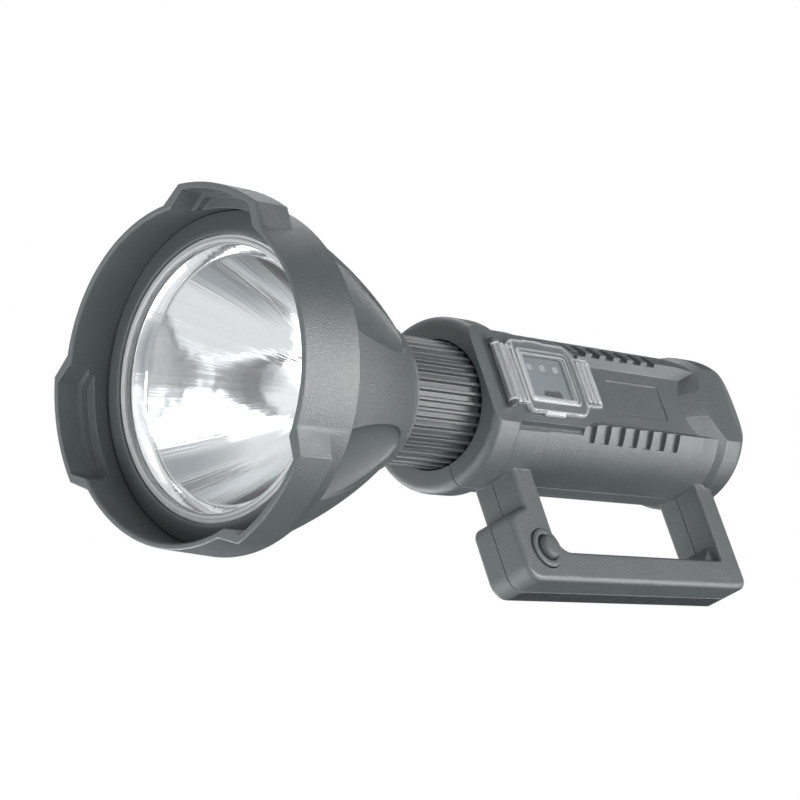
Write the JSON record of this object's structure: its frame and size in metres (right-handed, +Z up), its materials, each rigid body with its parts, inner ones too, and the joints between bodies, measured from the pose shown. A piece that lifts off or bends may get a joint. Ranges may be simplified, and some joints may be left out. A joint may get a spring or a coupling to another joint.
{
  "type": "rechargeable flashlight",
  "caption": "Hand lamp with a lugged crown round a deep bowl reflector, a fluted cone, a ribbed neck collar and a barrel body with a D handle, a push button and a clear hinged lid.",
  "frame": {"origin": "middle of the flat base of the D handle, on which the lamp stands", "axes": "+Z up from the base, -Y the way the light goes, +X the side with the lid and the button"},
  "size_m": [0.1027, 0.2405, 0.1116],
  "materials": {
    "shell_plastic": "dark grey ABS, fine spark-eroded grain",
    "soft_rubber": "matt moulded rubber",
    "clear_plastic": "clear polycarbonate, polished",
    "mirror_coat": "vacuum-metallised bowl",
    "emitter_resin": "phosphor under a clear dome",
    "board_laminate": "solder-masked laminate",
    "cast_aluminium": "turned, bare",
    "switch_body": "moulded",
    "panel_plastic": "satin grey",
    "socket_steel": "plated steel",
    "cell_metal": "shrink sleeve over a steel can",
    "holder_plastic": "moulded"
  },
  "bodies": {
    "root": {"crown_bezel": "shell_plastic", "retaining_ring": "shell_plastic", "head_housing": "shell_plastic", "right_shell": "shell_plastic", "left_shell": "shell_plastic", "button_ring": "shell_plastic", "lens_gasket": "soft_rubber", "lens": "clear_plastic", "light_window_1": "clear_plastic", "light_window_2": "clear_plastic", "light_window_3": "clear_plastic", "reflector": "mirror_coat", "led_emitter": "emitter_resin", "led_board": "board_laminate", "switch_board": "board_laminate", "control_board": "board_laminate", "heat_sink": "cast_aluminium", "neck_sleeve": "cast_aluminium", "button_switch": "switch_body", "display_panel": "panel_plastic", "charge_socket": "socket_steel", "lid_hinge_pin": "socket_steel", "shell_screw_1": "socket_steel", "shell_screw_2": "socket_steel", "shell_screw_3": "socket_steel", "shell_screw_4": "socket_steel", "shell_screw_5": "socket_steel", "battery_cell_1": "cell_metal", "battery_cell_2": "cell_metal", "battery_cell_3": "cell_metal", "cell_plate_front": "holder_plastic", "cell_plate_rear": "holder_plastic"},
    "button": {"push_button": "soft_rubber"},
    "lid": {"charge_lid": "clear_plastic"},
    "collar": {"ribbed_collar": "shell_plastic"}
  },
  "joints": [
    {"name": "button_press", "type": "slide", "parent": "root", "child": "button", "axis": [-1, 0, 0], "range_m": [0, 0.0015], "stiffness_N_per_m": 1200},
    {"name": "lid_hinge", "type": "hinge", "parent": "root", "child": "lid", "pos_m": [0.02395, -0.0602, 0.0619], "axis": [0, 0, -1], "range_deg": [0, 110]},
    {"name": "collar_turn", "type": "hinge", "parent": "root", "child": "collar", "pos_m": [0, -0.082, 0.0619], "axis": [0, 1, 0], "continuous": true}
  ]
}
